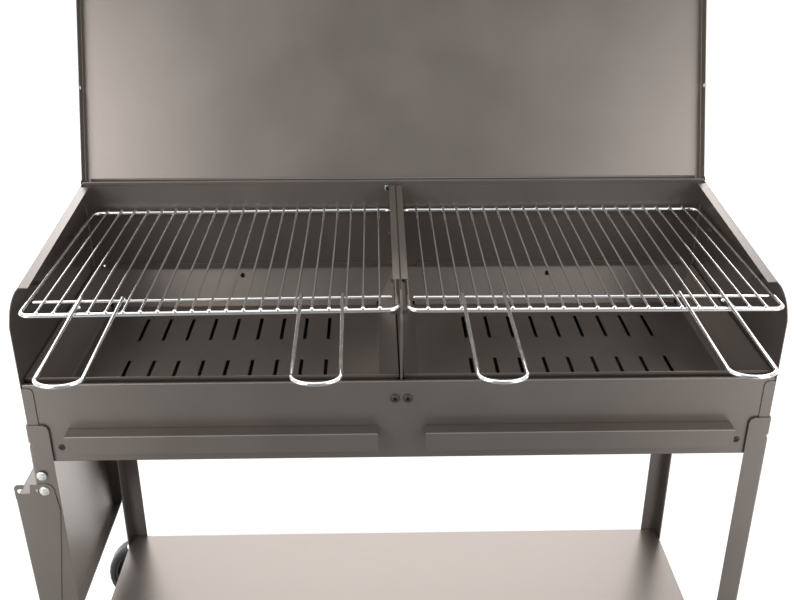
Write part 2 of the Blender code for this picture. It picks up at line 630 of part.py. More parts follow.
def lid():
    """Lid in its own frame, hinge line at the origin: Y runs behind it and Z along it."""
    xi = W / 2 + LID_CLEAR
    xo = xi + T
    back = LID_OFF + T
    section = [(-xo, -LID_FRONT), (-xo, back), (xo, back), (xo, -LID_FRONT),
               (xi, -LID_FRONT), (xi, LID_OFF), (-xi, LID_OFF), (-xi, -LID_FRONT)]
    sheet = prism("lid", folded(section, {1: BEND + T, 2: BEND + T, 5: BEND, 6: BEND}), "Z", LID_S0, LID_S1)
    parts = [box("hem", -xi - T / 2, xi + T / 2, LID_OFF - LID_HEM, LID_OFF + T / 2, LID_S1 - T, LID_S1)]
    top = LID_S0 + STOP_LAP
    ear = [(LID_OFF - STOP_LAP, -STOP_S), (0.0, -0.83 * STOP_S), (-0.72 * LID_EAR, -0.58 * STOP_S), (-LID_EAR, 0.0),
           (-LID_EAR, top), (-LID_FRONT + T / 2, top + LID_EAR - LID_FRONT), (LID_OFF - STOP_LAP, top + T)]
    for side in (-1, 1):
        parts.append(prism("ear", ear, "X", *sorted((side * xi, side * xo))))
        stop = [(side * (xo - STOP_W), LID_OFF), (side * (xo - STOP_W), back), (side * xo, back),
                (side * xo, LID_OFF - STOP_LAP - G), (side * xi, LID_OFF - STOP_LAP - G), (side * xi, LID_OFF)]
        parts.append(prism("stop", folded(stop, {2: BEND + T, 5: BEND}), "Z", -STOP_S, top))
    obj = union(sheet, parts)
    c = LID_CORNER
    corner = [(-LID_FRONT - c, LID_S1 - c), (-LID_FRONT, LID_S1 - c), (-LID_FRONT + c, LID_S1), (-LID_FRONT + c, LID_S1 + c),
              (-LID_FRONT - c, LID_S1 + c)]
    tools = []
    for side in (-1, 1):
        a, b = sorted((side * (xi - 0.01), side * (xo + 0.01)))
        tools.append(prism("corner", corner, "X", a, b))
        tools.append(cylinder("hole", BOLT_R + G, a, b, (0.0, 0.0), "X", 12))
        tools.append(cylinder("hole", LID_HOLE_R, a, b, (LID_HOLE_IN - LID_FRONT, LID_HOLE_S), "X", 12))
    return cut(obj, tools)


def lid_handle():
    """Bent rod handle on the outer face of the lid, near its front edge, in the lid's own frame."""
    half, rise, r = LID_GRIP_HALF, LID_GRIP_RISE, LID_GRIP_BEND
    s = LID_S1 - LID_GRIP_IN
    base = LID_OFF + T + G
    pts = [(-half, base), (-half, base + rise - r)]
    pts += [(-half + r - r * math.cos(math.radians(a)), base + rise - r + r * math.sin(math.radians(a))) for a in (22.5, 45, 67.5)]
    pts += [(-half + r, base + rise), (half - r, base + rise)]
    pts += [(half - r + r * math.sin(math.radians(a)), base + rise - r + r * math.cos(math.radians(a))) for a in (22.5, 45, 67.5)]
    pts += [(half, base + rise - r), (half, base)]
    return tube_curve("lid_handle", [(x, off, s) for x, off in pts], LID_GRIP_R)


def table_plate():
    """Cheek of the side table before its slot and J-shaped notch are cut, pivot at the origin."""
    left, top, right = TABLE_X, TABLE_TOP, TABLE_RIGHT
    inner = left + BEND + T
    return [(inner, TABLE_BOT), (inner, SKIN_TOP), (left, SKIN_TOP), (left, top - 0.004), (left + 0.004, top), (right - 0.009, top),
            (right - 0.003, top - 0.003), (right, top - 0.009), (right + 0.003, -0.034), (left + TABLE_LIP, TABLE_BOT)]


def side_table():
    """Side table hanging down: skin with folded cheeks and a return lip at its far edge."""
    left = TABLE_X
    fold = left + TABLE_LIP - 2 * T
    section = [(fold, PLATE_Y0), (left, PLATE_Y0), (left, PLATE_Y1), (fold, PLATE_Y1), (fold, PLATE_Y1 - T),
               (left + T, PLATE_Y1 - T), (left + T, PLATE_Y0 + T), (fold, PLATE_Y0 + T)]
    obj = prism("side_table", folded(section, {1: BEND + T, 2: BEND + T, 5: BEND, 6: BEND}), "Z", TABLE_BOT, SKIN_TOP)
    lip = box("lip", left + T / 2, left + TABLE_LIP, PLATE_Y0 + T / 2, PLATE_Y1 - T / 2, TABLE_BOT, TABLE_BOT + T)
    cheeks = [prism("cheek", table_plate(), "Y", *span) for span in ((PLATE_Y0, PLATE_Y0 + T), (PLATE_Y1 - T, PLATE_Y1))]
    obj = union(obj, [lip] + cheeks)
    c = BOLT_R + G
    tools = []
    far = -LATCH_R - SLOT_TRAVEL
    entry = -math.sqrt(LATCH_R ** 2 - TABLE_TOP ** 2)
    above = TABLE_TOP + 0.010
    slot = arc(0, 0, c, c, -90, 90, 8) + arc(-SLOT_TRAVEL, 0, c, c, 90, 270, 8)
    notch = [(entry + c + 2 * G, above), (entry + c + 2 * G, TABLE_TOP), (-LATCH_R + c + 2 * G, -c - G)]
    notch += arc(far, 0, c, c + G, 270, 90, 8) + [(-LATCH_R - c - 2 * G, c + G), (entry - c - 4 * G, TABLE_TOP), (entry - c - 4 * G, above)]
    for a, b in ((PLATE_Y0 - 0.01, PLATE_Y0 + 0.01), (PLATE_Y1 - 0.01, PLATE_Y1 + 0.01)):
        tools.append(prism("slot", slot, "Y", a, b))
        tools.append(prism("notch", notch, "Y", a, b))
    return cut(obj, tools)


def wheel(y0, name):
    """Plastic wheel: rim, dished web and hub in one turned piece."""
    y1 = y0 + WHEEL_W
    m = (y0 + y1) / 2
    r = WHEEL_R - TYRE_T - G
    prof = [(AXLE_R + G, y0 - 0.002), (0.016, y0 - 0.002), (0.018, m - 0.004), (r - 0.008, m - 0.003), (r - 0.006, y0 + 0.003), (r, y0 + 0.003),
            (r, y1 - 0.003), (r - 0.006, y1 - 0.003), (r - 0.008, m + 0.003), (0.018, m + 0.004), (0.016, y1 + 0.002), (AXLE_R + G, y1 + 0.002)]
    return ring_solid(name, prof, 32)


def tyre(y0, name):
    y1 = y0 + WHEEL_W
    r0 = WHEEL_R - TYRE_T
    prof = [(r0, y0 + 0.001), (WHEEL_R - 0.004, y0), (WHEEL_R - 0.001, y0 + 0.003), (WHEEL_R, y0 + 0.007), (WHEEL_R, y1 - 0.007),
            (WHEEL_R - 0.001, y1 - 0.003), (WHEEL_R - 0.004, y1), (r0, y1 - 0.001)]
    return ring_solid(name, prof, 32)


def ring_solid(name, prof, sides):
    """Closed ring turned about the axle line, from a closed (radius, y) section."""
    bm = bmesh.new()
    rings = [[bm.verts.new((r * math.cos(2 * math.pi * (i + 0.5) / sides), y, r * math.sin(2 * math.pi * (i + 0.5) / sides)))
              for i in range(sides)] for r, y in prof]
    for k, p in enumerate(rings):
        q = rings[(k + 1) % len(rings)]
        for i in range(sides):
            j = (i + 1) % sides
            bm.faces.new((p[i], p[j], q[j], q[i]))
    return mesh_object(name, bm)


def empty(name, location, rotation=(0, 0, 0)):
    obj = bpy.data.objects.new(name, None)
    obj.empty_display_size = 0.02
    BBQ.objects.link(obj)
    obj.parent = ROOT
    obj.location = location
    obj.rotation_euler = rotation
    return obj


def moved(obj, offset):
    """Shift mesh data so that the object's origin lies at the given point."""
    obj.data.transform(Matrix.Translation(-Vector(offset)))
    return obj


for item in list(bpy.data.objects):
    bpy.data.objects.remove(item)

BBQ = bpy.data.collections.new("charcoal_barbecue")
bpy.context.scene.collection.children.link(BBQ)
ROOT = bpy.data.objects.new("barbecue_root", None)
BBQ.objects.link(ROOT)

PAINT = material("graphite_paint", (0.052, 0.047, 0.043), 0.0, 0.42)
CHROME = material("chrome_wire", (0.78, 0.78, 0.77), 1.0, 0.18)
ZINC = material("zinc_bolt", (0.72, 0.72, 0.70), 1.0, 0.30)
PLASTIC = material("black_plastic", (0.018, 0.018, 0.018), 0.0, 0.50)
RUBBER = material("grey_rubber", (0.10, 0.10, 0.10), 0.0, 0.75)

SIDES = ((-1, "left"), (1, "right"))
ENDS = ((-1, "front"), (1, "back"))

for side, word in SIDES:
    place(side_wall(side, "side_wall_" + word), PAINT)
    place(divider(side, "divider_" + word), PAINT)
    place(fire_pan(side, "fire_pan_" + word), PAINT)
    place(side_runner(side, "drawer_runner_" + word), PAINT)
    place(front_screw(side, "front_screw_" + word), PAINT)
place(front_panel(), PAINT)
place(back_wall(), PAINT)
place(pan_support("pan_support_front", T, 1), PAINT)
place(pan_support("pan_support_back", D - T, -1), PAINT)
place(middle_runner(), PAINT)
place(shelf(), PAINT)

for side, word in SIDES:
    for end, place_word in ENDS:
        label = place_word + "_" + word
        place(leg(side, end, "leg_" + label), PAINT)
        y = LEG_BOLT_Y[0] if end < 0 else LEG_BOLT_Y[1]
        seat = side * (W / 2 + G + TL)
        place(bolt_along("box_bolt_" + label, "X", (y, BOX_BOLT_Z), seat, side, TL + T + 2 * G), ZINC)
        place(bolt_along("shelf_bolt_" + label, "X", (y, SHELF_BOLT_Z), seat, side, TL + T + 2 * G), ZINC)
for end, word in ENDS:
    place(foot(end, "foot_" + word), PLASTIC)

lid_axis = empty("lid_axis", (0, HINGE_Y, HINGE_Z), (-LID_LEAN, 0, 0))
place(lid(), PAINT, lid_axis)
place(lid_handle(), CHROME, lid_axis)
for side, word in SIDES:
    place(bolt_along("hinge_bolt_" + word, "X", (HINGE_Y, HINGE_Z), side * (W / 2 + LID_CLEAR + T), side,
                     LID_CLEAR + 2 * T, 0.0055, 0.004, 0.004), ZINC)

table_axis = empty("table_axis", (PIV_X, 0, PIV_Z), (0, -TABLE_TILT, 0))
place(side_table(), PAINT, table_axis)
for end, word in ENDS:
    seat = PLATE_Y0 if end < 0 else PLATE_Y1
    grip = TL + G + T + G
    place(bolt_along("table_pivot_" + word, "Y", (0, 0), seat, end, grip), ZINC, table_axis)
    seat = LEG_FACE if end < 0 else REAR_FACE
    place(bolt_along("latch_bolt_" + word, "Y", (PIV_X, PIV_Z + LATCH_R), seat + end * (T + 3 * G), end,
                     TL + T + 4 * G, 0.0058), ZINC)

for side, word in SIDES:
    grid_axis = empty("grid_axis_" + word, (side * (GRID_IN + GRID_OUT) / 2, (GRID_Y0 + GRID_Y1) / 2, GRID_Z))
    origin = tuple(grid_axis.location)
    grid_axis.location += Vector((*GRID_PLAY[side], 0))
    grid_axis.rotation_euler.z = GRID_TURN[side]
    place(moved(grid(side, "grid_" + word), origin), CHROME, grid_axis)
    for sign, hand in SIDES:
        handle = grid_handle(side, sign * HANDLE_OFFSET, "grid_" + word + "_handle_" + hand)
        place(moved(handle, origin), CHROME, grid_axis)
    drawer_axis = empty("drawer_axis_" + word, (side * (PULL_X0 + PULL_X1) / 2, 0, RUNNER_Z))
    origin = tuple(drawer_axis.location)
    place(moved(ash_tray(side, "ash_tray_" + word), origin), PAINT, drawer_axis)
    place(moved(drawer_pull(side, "drawer_pull_" + word), origin), PAINT, drawer_axis)

WHEEL_Y = {"front": LEG_FACE - 0.0055 - WHEEL_W, "back": REAR_FACE + 0.0055}
axle_ends = (WHEEL_Y["front"] - 0.009, WHEEL_Y["back"] + WHEEL_W + 0.009)
place(cylinder("axle", AXLE_R, axle_ends[0], axle_ends[1], (AXLE_X, WHEEL_R), "Y", 16), ZINC)
for end, word in ENDS:
    axis = empty("wheel_axis_" + word, (AXLE_X, 0, WHEEL_R))
    place(wheel(WHEEL_Y[word], "wheel_" + word), PLASTIC, axis)
    place(tyre(WHEEL_Y[word], "tyre_" + word), RUBBER, axis)
    tip = axle_ends[0] if end < 0 else axle_ends[1]
    inner = WHEEL_Y[word] - 0.0024 if end < 0 else WHEEL_Y[word] + WHEEL_W + 0.0024
    cap = turned("axle_cap_" + word, [(0.012, inner), (0.012, inner + end * 0.004), (0.008, tip + end * 0.0018)], "Y", (AXLE_X, WHEEL_R), 16)
    bore = cylinder("bore", AXLE_R + G, *sorted((inner - end * 0.01, tip + end * G)), (AXLE_X, WHEEL_R), "Y", 16)
    place(cut(cap, [bore]), PLASTIC)

bpy.context.view_layer.update()
corners = [obj.matrix_world @ Vector(c) for obj in BBQ.objects if obj.type == "MESH" for c in obj.bound_box]
low = [min(c[i] for c in corners) for i in range(3)]
high = [max(c[i] for c in corners) for i in range(3)]
ROOT.location = (-(low[0] + high[0]) / 2, -(low[1] + high[1]) / 2, -low[2])
bpy.context.view_layer.update()
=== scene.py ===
"""Looks of the charcoal barbecue: paint, chrome, zinc, plastic and rubber, photographed in a plain studio."""
import json
import math

import bmesh
import bpy
from mathutils import Matrix, Vector
from mathutils.bvhtree import BVHTree

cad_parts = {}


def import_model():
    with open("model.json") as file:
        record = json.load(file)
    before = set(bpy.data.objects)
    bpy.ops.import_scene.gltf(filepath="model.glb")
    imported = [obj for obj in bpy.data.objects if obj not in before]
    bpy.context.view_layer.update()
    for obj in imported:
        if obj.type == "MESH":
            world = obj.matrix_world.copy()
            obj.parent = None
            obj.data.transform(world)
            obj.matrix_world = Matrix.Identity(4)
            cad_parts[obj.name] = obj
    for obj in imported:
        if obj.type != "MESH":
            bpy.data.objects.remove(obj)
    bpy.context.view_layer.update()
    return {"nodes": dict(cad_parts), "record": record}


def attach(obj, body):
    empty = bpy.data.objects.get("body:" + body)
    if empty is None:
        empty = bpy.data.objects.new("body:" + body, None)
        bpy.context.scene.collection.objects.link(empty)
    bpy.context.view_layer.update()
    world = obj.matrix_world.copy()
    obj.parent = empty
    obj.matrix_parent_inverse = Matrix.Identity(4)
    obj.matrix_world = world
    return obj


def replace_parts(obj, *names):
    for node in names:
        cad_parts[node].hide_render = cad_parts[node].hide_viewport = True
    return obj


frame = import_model()
NODES = frame["nodes"]
SLOT_OF = {part["node"]: part["material_slot"] for part in frame["record"]["subparts"]}
BODY_OF = {node: body for body, nodes in frame["record"]["behaviour"]["bodies"].items() for node in nodes}

# The part source's own origin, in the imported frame
ORIGIN = Vector((0.0258194, -0.1969342, 0.0))

# Camera, fitted to the photograph of 800 by 600 pixels
IMAGE_W = 800
IMAGE_H = 600
FOCAL_PX = 1027.86
CENTRE_ROW = 365.46
CAMERA_AT = Vector((-0.006606, -1.395200, 1.357434))
PITCH = math.radians(27.123)
YAW = math.radians(1.4503)
ROLL = math.radians(0.0878)
SENSOR_MM = 36.0
CLIP_END = 60.0

# Sockets of a Mix node: its factor, its two numbers, its two colours, and its two results
MIX_FACTOR = 0
MIX_NUMBERS = (2, 3)
MIX_COLOURS = (6, 7)
MIX_NUMBER_OUT = 0
MIX_COLOUR_OUT = 2

# The range that most of a noise texture's values fill
NOISE_SPAN = (0.3, 0.7)


def principled(name, metallic=0.0):
    """New material with a Principled shader; returns the material, its nodes, its links and the shader."""
    mat = bpy.data.materials.new(name)
    mat.use_nodes = True
    nodes, links = mat.node_tree.nodes, mat.node_tree.links
    shader = nodes["Principled BSDF"]
    shader.inputs["Metallic"].default_value = metallic
    return mat, nodes, links, shader


def noise(nodes, links, scale, detail):
    """Noise texture in object space; returns its value socket."""
    where = nodes.new("ShaderNodeTexCoord")
    tex = nodes.new("ShaderNodeTexNoise")
    tex.inputs["Scale"].default_value = scale
    tex.inputs["Detail"].default_value = detail
    links.new(where.outputs["Object"], tex.inputs["Vector"])
    return tex.outputs["Fac"]


def ramp(nodes, links, value, source, target):
    """Map a value from the source range to the target range; returns the result's socket."""
    node = nodes.new("ShaderNodeMapRange")
    for word, number in zip(("From Min", "From Max", "To Min", "To Max"), (*source, *target)):
        node.inputs[word].default_value = number
    links.new(value, node.inputs["Value"])
    return node.outputs["Result"]


def mottled(nodes, links, value, source, colours):
    """Mix of two colours by a value that runs over the source range; returns the colour socket."""
    mix = nodes.new("ShaderNodeMix")
    mix.data_type = "RGBA"
    for socket, colour in zip(MIX_COLOURS, colours):
        mix.inputs[socket].default_value = (*colour, 1.0)
    links.new(ramp(nodes, links, value, source, (0.0, 1.0)), mix.inputs[MIX_FACTOR])
    return mix.outputs[MIX_COLOUR_OUT]


def bump(nodes, links, value, shader, strength, distance):
    """Fine relief from a value socket."""
    node = nodes.new("ShaderNodeBump")
    node.inputs["Strength"].default_value = strength
    node.inputs["Distance"].default_value = distance
    links.new(value, node.inputs["Height"])
    links.new(node.outputs["Normal"], shader.inputs["Normal"])


def graphite_paint():
    """Warm anthracite stoving paint: fine orange peel, faint clouding and metal flake."""
    mat, nodes, links, shader = principled("graphite_paint", metallic=0.75)
    flake_share = 0.35
    cloud = noise(nodes, links, scale=9.0, detail=4.0)
    flake = noise(nodes, links, scale=1900.0, detail=1.0)
    both = nodes.new("ShaderNodeMath")
    both.operation = "MULTIPLY_ADD"
    both.inputs[1].default_value = flake_share
    links.new(flake, both.inputs[0])
    links.new(cloud, both.inputs[2])
    colour = mottled(nodes, links, both.outputs[0], (0.45, 0.9),
                     ((0.192, 0.168, 0.152), (0.216, 0.190, 0.172)))
    links.new(colour, shader.inputs["Base Color"])
    links.new(ramp(nodes, links, cloud, NOISE_SPAN, (0.34, 0.38)), shader.inputs["Roughness"])
    bump(nodes, links, noise(nodes, links, scale=420.0, detail=2.0), shader, strength=0.12, distance=0.0002)
    return mat


def spotted(name, metallic, spots, span, colours, roughness, grain, strength, distance):
    """Spots of two colours that also vary the roughness, over a fine grain.

    spots and grain each give the scale and the detail of a noise.
    """
    mat, nodes, links, shader = principled(name, metallic)
    spot = noise(nodes, links, *spots)
    links.new(mottled(nodes, links, spot, span, colours), shader.inputs["Base Color"])
    links.new(ramp(nodes, links, spot, NOISE_SPAN, roughness), shader.inputs["Roughness"])
    bump(nodes, links, noise(nodes, links, *grain), shader, strength, distance)
    return mat


def chrome_wire():
    """Bright chrome plating with faint water spots."""
    return spotted("chrome_wire", 1.0, spots=(60.0, 4.0), span=NOISE_SPAN,
                   colours=((0.80, 0.80, 0.79), (0.90, 0.90, 0.89)),
                   roughness=(0.05, 0.12), grain=(700.0, 2.0), strength=0.05, distance=0.0001)


def zinc_bolt():
    """Zinc plating, duller and blotched."""
    return spotted("zinc_bolt", 1.0, spots=(240.0, 4.0), span=NOISE_SPAN,
                   colours=((0.62, 0.62, 0.60), (0.82, 0.82, 0.80)),
                   roughness=(0.20, 0.38), grain=(900.0, 3.0), strength=0.10, distance=0.0001)


def grey_rubber():
    """Dark rubber with a little dust."""
    return spotted("grey_rubber", 0.0, spots=(45.0, 5.0), span=(0.35, 0.7),
                   colours=((0.036, 0.036, 0.037), (0.062, 0.061, 0.060)),
                   roughness=(0.34, 0.46), grain=(500.0, 3.0), strength=0.35, distance=0.0003)


def black_plastic():
    """Matt moulded plastic, whose grain also varies its roughness."""
    mat, nodes, links, shader = principled("black_plastic")
    grain = noise(nodes, links, scale=800.0, detail=3.0)
    spots = noise(nodes, links, scale=30.0, detail=3.0)
    colour = mottled(nodes, links, spots, NOISE_SPAN, ((0.017, 0.017, 0.018), (0.026, 0.026, 0.027)))
    links.new(colour, shader.inputs["Base Color"])
    links.new(ramp(nodes, links, grain, NOISE_SPAN, (0.42, 0.58)), shader.inputs["Roughness"])
    bump(nodes, links, grain, shader, strength=0.25, distance=0.0002)
    return mat


MATERIALS = {"graphite_paint": graphite_paint(), "chrome_wire": chrome_wire(), "zinc_bolt": zinc_bolt(),
             "black_plastic": black_plastic(), "grey_rubber": grey_rubber()}

# Radii of the rolled folds and eased edges
SHEET_FOLD = 0.0014
LEG_FOLD = 0.0024
SMALL_FOLD = 0.0006
SHEET_EDGE = 0.00028
CORNER_EDGE = 0.00006
FOLD_SEGMENTS = 4
EDGE_SEGMENTS = 2

# What counts as a fold: its least length, the flat beside it, and how closely that flat follows the face
SHORTEST_FOLD = 0.006
FOLD_REACH = 0.0032
PROBE_LIFT = 0.0004
SAME_WAY = 0.99

# Angles between faces: flat enough to merge, hard enough to round, and sharp in the shading
FLAT_ANGLE = math.radians(0.5)
HARD_ANGLE = math.radians(50)
SHARP_ANGLE = math.radians(62)
SAME_POINT = 1e-6

# The front panel's lip behind this depth and above this height slopes down
LIP_REAR = 0.0095
LIP_LOW = 0.7180
LIP_FALL = 0.0024

# Sheets that meet at the rear corners keep nearly sharp edges, so that no gap opens between them
CORNER_SHEETS = ("back_wall", "side_wall_left", "side_wall_right")

# Sheets with a rim round an open side keep their triangles, so that no merged face covers the opening
OPEN_TRAYS = ("shelf", "ash_tray_left", "ash_tray_right")


def object_from(bm, name, slot):
    """Smooth-shaded object with its sharp edges marked, in a material of the record."""
    for face in bm.faces:
        face.smooth = True
    for edge in bm.edges:
        edge.smooth = len(edge.link_faces) == 2 and edge.calc_face_angle(0.0) < SHARP_ANGLE
    mesh = bpy.data.meshes.new(name)
    bm.to_mesh(mesh)
    bm.free()
    mesh.materials.append(MATERIALS[slot])
    obj = bpy.data.objects.new(name, mesh)
    bpy.context.scene.collection.objects.link(obj)
    return obj


def carries_on(tree, edge, face):
    """Whether the flat of the face goes on beside the edge, as it does at a fold and not at a sheet's edge."""
    middle = (edge.verts[0].co + edge.verts[1].co) / 2
    along = (edge.verts[1].co - edge.verts[0].co).normalized()
    inward = face.normal.cross(along)
    if inward.dot(face.calc_center_median() - middle) < 0:
        inward = -inward
    start = middle + inward * FOLD_REACH + face.normal * PROBE_LIFT
    hit, normal, _, _ = tree.ray_cast(start, -face.normal, 2 * PROBE_LIFT)
    return hit is not None and normal.dot(face.normal) > SAME_WAY


def round_edges(bm, edges, offset, segments):
    """Bevel the edges, if there are any."""
    if edges:
        bmesh.ops.bevel(bm, geom=edges, offset=offset, offset_type="OFFSET", segments=segments, profile=0.5,
                        affect="EDGES", clamp_overlap=False)


def convex_edges(bm):
    """The hard outer edges between two faces."""
    pairs = [e for e in bm.edges if len(e.link_faces) == 2 and e.is_convex]
    return [e for e in pairs if e.calc_face_angle(0.0) > HARD_ANGLE]


def is_fold(tree, edge):
    """Whether a long enough edge has a flat on both sides."""
    return edge.calc_length() > SHORTEST_FOLD and all(carries_on(tree, edge, f) for f in edge.link_faces)


def dressed(name, fold):
    """Copy of a CAD node with rolled folds and eased edges, which stands for the node and rides on its body."""
    bm = bmesh.new()
    bm.from_mesh(NODES[name].data)
    bmesh.ops.remove_doubles(bm, verts=bm.verts, dist=SAME_POINT)
    if name not in OPEN_TRAYS:
        bmesh.ops.dissolve_limit(bm, angle_limit=FLAT_ANGLE, verts=bm.verts, edges=bm.edges)
    bmesh.ops.recalc_face_normals(bm, faces=bm.faces)
    if name == "front_panel":
        for vert in bm.verts:
            _, y, z = vert.co - ORIGIN
            if y > LIP_REAR and z > LIP_LOW:
                vert.co.z -= LIP_FALL
    if fold:
        tree = BVHTree.FromBMesh(bm)
        round_edges(bm, [e for e in convex_edges(bm) if is_fold(tree, e)], fold, FOLD_SEGMENTS)
        ease = CORNER_EDGE if name in CORNER_SHEETS else SHEET_EDGE
        round_edges(bm, convex_edges(bm), ease, EDGE_SEGMENTS)
    piece = object_from(bm, name + "_dressed", SLOT_OF[name])
    even = piece.modifiers.new("even_normals", "WEIGHTED_NORMAL")
    even.keep_sharp = True
    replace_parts(piece, name)
    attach(piece, BODY_OF[name])


for name, node in NODES.items():
    node.data.materials.clear()
    node.data.materials.append(MATERIALS[SLOT_OF[name]])
    if name.startswith(("grid_", "front_screw")):
        continue
    if SLOT_OF[name] == "chrome_wire" or name == "axle":
        dressed(name, 0.0)
    elif name.startswith("leg_"):
        dressed(name, LEG_FOLD)
    else:
        dressed(name, SHEET_FOLD if SLOT_OF[name] == "graphite_paint" else SMALL_FOLD)

# Radii of the wires, and the heights at which they lie
WIRE_Z = 0.823
FRAME_R = 0.003
CROSS_R = 0.002
BAR_R = 0.0017
HANDLE_R = 0.0025
CROSS_Z = WIRE_Z + FRAME_R - CROSS_R
BAR_Z = WIRE_Z + FRAME_R + BAR_R - 0.0006
HANDLE_Z = WIRE_Z + FRAME_R + HANDLE_R + 0.0003

# Layout of a wire grid
BARS = 21
BAR_PITCH = 0.0216
BAR_BEFORE = 0.0012
BAR_BEYOND = 0.0050
FRAME_CORNER = 0.013
CORNER_STEPS = 6
CROSS_SETBACK = 0.040
CROSS_INSET = 0.008

# Weld beads: half sizes along X, Y and Z
FRONT_BEAD = (0.0031, 0.0024, 0.0021)
CROSS_BEAD = (0.0026, 0.0021, 0.0014)
BACK_BEAD = (0.0028, 0.0023, 0.0014)
HANDLE_BEAD = (0.0030, 0.0026, 0.0026)

# Stretches longer than this get a station near each end, which keeps their shading even
LONG_STRETCH = 0.012
STATION_STEP = 0.002
END_REACH = 0.5
END_RADIUS = 0.72


def piece_from(bm, name, slot, body):
    """Smooth-shaded piece in a material slot of the record, riding on a body."""
    bmesh.ops.recalc_face_normals(bm, faces=bm.faces)
    piece = object_from(bm, name, slot)
    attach(piece, body)
    return piece


def stations_along(corners, closed):
    """The corners of a path, with extra points near the ends of its long stretches."""
    points = []
    for i, a in enumerate(corners):
        b = corners[(i + 1) % len(corners)]
        points.append(a)
        if (b - a).length > LONG_STRETCH and (closed or i + 1 < len(corners)):
            step = (b - a).normalized() * STATION_STEP
            points += [a + step, b - step]
    return points


def skin(bm, rings, segments, closed=False):
    """Faces between rings of vertices; an open row of rings is capped."""
    pairs = list(zip(rings, rings[1:]))
    if closed:
        pairs.append((rings[-1], rings[0]))
    for a, b in pairs:
        for k in range(segments):
            bm.faces.new((a[k], a[(k + 1) % segments], b[(k + 1) % segments], b[k]))
    if not closed:
        bm.faces.new(rings[0])
        bm.faces.new(rings[-1])


def rod(bm, corners, radius, closed=False, sides=10):
    """Round wire along a level path, its ends rounded off."""
    points = stations_along([Vector(p) for p in corners], closed)
    count = len(points)
    stations = []
    for i, point in enumerate(points):
        if closed:
            ahead = (points[(i + 1) % count] - points[i - 1]).normalized()
        else:
            ahead = (points[min(i + 1, count - 1)] - points[max(i - 1, 0)]).normalized()
        stations.append((point, ahead, radius))
    if not closed:
        first, last = stations[0], stations[-1]
        stations.insert(0, (first[0] - first[1] * radius * END_REACH, first[1], radius * END_RADIUS))
        stations.append((last[0] + last[1] * radius * END_REACH, last[1], radius * END_RADIUS))
    turns = [math.tau * k / sides for k in range(sides)]
    rings = []
    for point, ahead, r in stations:
        side = ahead.cross(Vector((0, 0, 1))).normalized()
        above = side.cross(ahead)
        round_it = [side * math.cos(t) * r + above * math.sin(t) * r for t in turns]
        rings.append([bm.verts.new(ORIGIN + point + offset) for offset in round_it])
    skin(bm, rings, sides, closed)


def bead(bm, centre, half):
    """Small weld bead."""
    place = Matrix.Translation(ORIGIN + Vector(centre)) @ Matrix.Diagonal((*half, 1.0))
    bmesh.ops.create_uvsphere(bm, u_segments=10, v_segments=6, radius=1.0, matrix=place)


def wire_grid(name, x0, x1, middle, y0, y1, lean):
    """Bent frame, a second cross wire and welded bars; lean is how far out of square the grid stands."""
    bm = bmesh.new()

    def at(x, y, z):
        return (x, y + lean * (x - middle), z)

    path = []
    for cx, cy, start in ((x1, y1, 0), (x0, y1, 90), (x0, y0, 180), (x1, y0, 270)):
        cx += -FRAME_CORNER if cx == x1 else FRAME_CORNER
        cy += -FRAME_CORNER if cy == y1 else FRAME_CORNER
        for k in range(CORNER_STEPS + 1):
            turn = math.radians(start + 90 / CORNER_STEPS * k)
            x, y = cx + FRAME_CORNER * math.cos(turn), cy + FRAME_CORNER * math.sin(turn)
            path.append(at(x, y, WIRE_Z))
    rod(bm, path, FRAME_R, closed=True, sides=12)
    cross_y = y0 + CROSS_SETBACK
    rod(bm, [at(x0 + CROSS_INSET, cross_y, CROSS_Z), at(x1 - CROSS_INSET, cross_y, CROSS_Z)], CROSS_R)
    for i in range(BARS):
        x = middle + (i - (BARS - 1) / 2) * BAR_PITCH
        rod(bm, [at(x, y0 - BAR_BEFORE, BAR_Z), at(x, y1 + BAR_BEYOND, BAR_Z)], BAR_R)
        bead(bm, at(x, y0 - 0.0008, BAR_Z - 0.0002), FRONT_BEAD)
        bead(bm, at(x, cross_y, BAR_Z - 0.0008), CROSS_BEAD)
        bead(bm, at(x, y1, BAR_Z - 0.0008), BACK_BEAD)
    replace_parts(piece_from(bm, name + "_wires", "chrome_wire", name), name)


def wire_handle(name, body, far, near, joints):
    """U-shaped rod; far and near give its legs' two x, and the y where it is welded on or its bow begins."""
    bm = bmesh.new()
    (fx0, fx1, fy), (nx0, nx1, ny) = far, near
    half = (nx1 - nx0) / 2
    depth = 0.75 * half
    points = [(fx0, fy, HANDLE_Z), (nx0, ny, HANDLE_Z)]
    for turn in range(10, 180, 10):
        angle = math.radians(turn)
        points.append(((nx0 + nx1) / 2 - half * math.cos(angle), ny - depth * math.sin(angle), HANDLE_Z))
    points += [(nx1, ny, HANDLE_Z), (fx1, fy, HANDLE_Z)]
    rod(bm, points, HANDLE_R)
    for x, y in joints:
        bead(bm, (x, y, WIRE_Z + FRAME_R), HANDLE_BEAD)
    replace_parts(piece_from(bm, name + "_rod", "chrome_wire", body), name)


